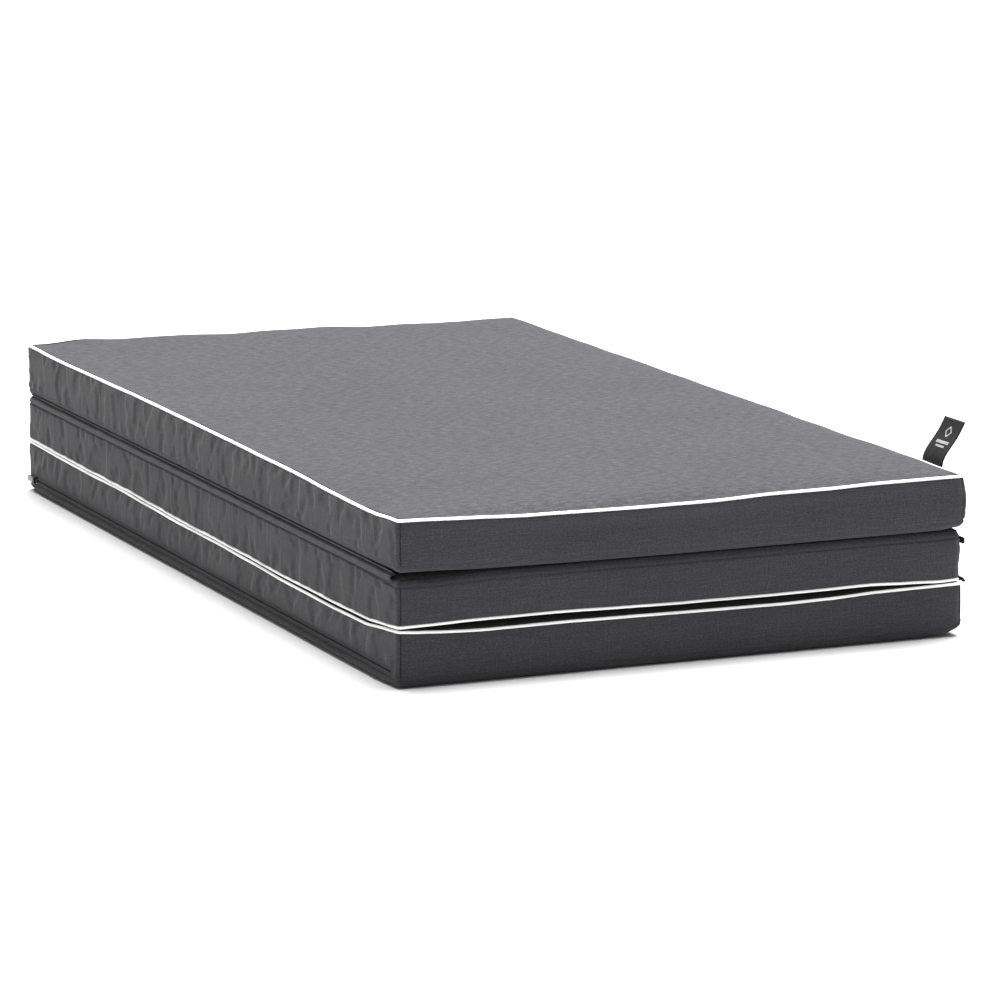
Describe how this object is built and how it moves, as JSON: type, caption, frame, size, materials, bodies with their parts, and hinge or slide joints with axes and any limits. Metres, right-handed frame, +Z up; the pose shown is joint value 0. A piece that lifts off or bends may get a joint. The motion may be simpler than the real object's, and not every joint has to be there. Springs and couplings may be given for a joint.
{
  "type": "folding foam mattress",
  "caption": "Tri-fold foam mattress stacked in a Z, with zipped woven covers, piping round the sleeping faces and cloth strips that hinge the panels.",
  "frame": {"origin": "centre of the lower panel's underside, where the folded mattress rests", "axes": "+X across the fold lines, towards the lower panel's fold line; +Y along the fold lines, to the back; +Z up"},
  "size_m": [0.6866, 1.2012, 0.2252],
  "materials": {
    "cover_cloth": "matte",
    "piping_cloth": "matte",
    "piping_cord": "matte",
    "foam": "matte",
    "zip_tape": "matte",
    "zip_coil": "satin",
    "zip_metal": "satin",
    "label_ribbon": "satin"
  },
  "bodies": {
    "lower_panel": {"lower_boxing_back": "cover_cloth", "lower_boxing_front": "cover_cloth", "lower_boxing_plain_side": "cover_cloth", "lower_boxing_zip_side": "cover_cloth", "lower_foam_core": "foam", "lower_fold_leaf_on_lower": "cover_cloth", "lower_piping": "piping_cloth", "lower_piping_cord": "piping_cord", "lower_sleep_cloth": "cover_cloth", "lower_under_cloth": "cover_cloth", "lower_zip_coil": "zip_coil", "lower_zip_facing": "cover_cloth", "lower_zip_stops": "zip_metal", "lower_zip_tapes": "zip_tape"},
    "middle_panel": {"lower_fold_leaf_on_middle": "cover_cloth", "middle_boxing_back": "cover_cloth", "middle_boxing_front": "cover_cloth", "middle_boxing_plain_side": "cover_cloth", "middle_boxing_zip_side": "cover_cloth", "middle_foam_core": "foam", "middle_piping": "piping_cloth", "middle_piping_cord": "piping_cord", "middle_sleep_cloth": "cover_cloth", "middle_under_cloth": "cover_cloth", "middle_zip_coil": "zip_coil", "middle_zip_facing": "cover_cloth", "middle_zip_stops": "zip_metal", "middle_zip_tapes": "zip_tape", "upper_fold_leaf_on_middle": "cover_cloth"},
    "upper_panel": {"upper_boxing_back": "cover_cloth", "upper_boxing_front": "cover_cloth", "upper_boxing_plain_side": "cover_cloth", "upper_boxing_zip_side": "cover_cloth", "upper_foam_core": "foam", "upper_fold_leaf_on_upper": "cover_cloth", "upper_piping": "piping_cloth", "upper_piping_cord": "piping_cord", "upper_sleep_cloth": "cover_cloth", "upper_under_cloth": "cover_cloth", "upper_woven_label": "label_ribbon", "upper_zip_coil": "zip_coil", "upper_zip_facing": "cover_cloth", "upper_zip_stops": "zip_metal", "upper_zip_tapes": "zip_tape"},
    "lower_slider": {"lower_zip_slider": "zip_metal"},
    "lower_pull": {"lower_zip_pull": "zip_metal"},
    "middle_slider": {"middle_zip_slider": "zip_metal"},
    "middle_pull": {"middle_zip_pull": "zip_metal"},
    "upper_slider": {"upper_zip_slider": "zip_metal"},
    "upper_pull": {"upper_zip_pull": "zip_metal"}
  },
  "joints": [
    {"name": "lower_fold", "type": "hinge", "parent": "lower_panel", "child": "middle_panel", "pos_m": [0.329, 0, 0.0581], "axis": [0, 1, 0], "range_deg": [0, 180]},
    {"name": "upper_fold", "type": "hinge", "parent": "middle_panel", "child": "upper_panel", "pos_m": [-0.327, 0, 0.1166], "axis": [0, -1, 0], "range_deg": [0, 180]},
    {"name": "lower_zip_slide", "type": "slide", "parent": "lower_panel", "child": "lower_slider", "axis": [0, 1, 0], "range_m": [-1.144, 0]},
    {"name": "lower_pull_swing", "type": "hinge", "parent": "lower_slider", "child": "lower_pull", "pos_m": [-0.32885, 0.572, 0.015], "axis": [0, 0, 1], "range_deg": [0, 180]},
    {"name": "middle_zip_slide", "type": "slide", "parent": "middle_panel", "child": "middle_slider", "axis": [0, 1, 0], "range_m": [0, 1.144]},
    {"name": "middle_pull_swing", "type": "hinge", "parent": "middle_slider", "child": "middle_pull", "pos_m": [0.32885, -0.572, 0.1012], "axis": [0, 0, 1], "range_deg": [0, 180]},
    {"name": "upper_zip_slide", "type": "slide", "parent": "upper_panel", "child": "upper_slider", "axis": [0, 1, 0], "range_m": [0, 1.144]},
    {"name": "upper_pull_swing", "type": "hinge", "parent": "upper_slider", "child": "upper_pull", "pos_m": [0.32885, -0.572, 0.132], "axis": [0, 0, 1], "range_deg": [0, 180]}
  ]
}
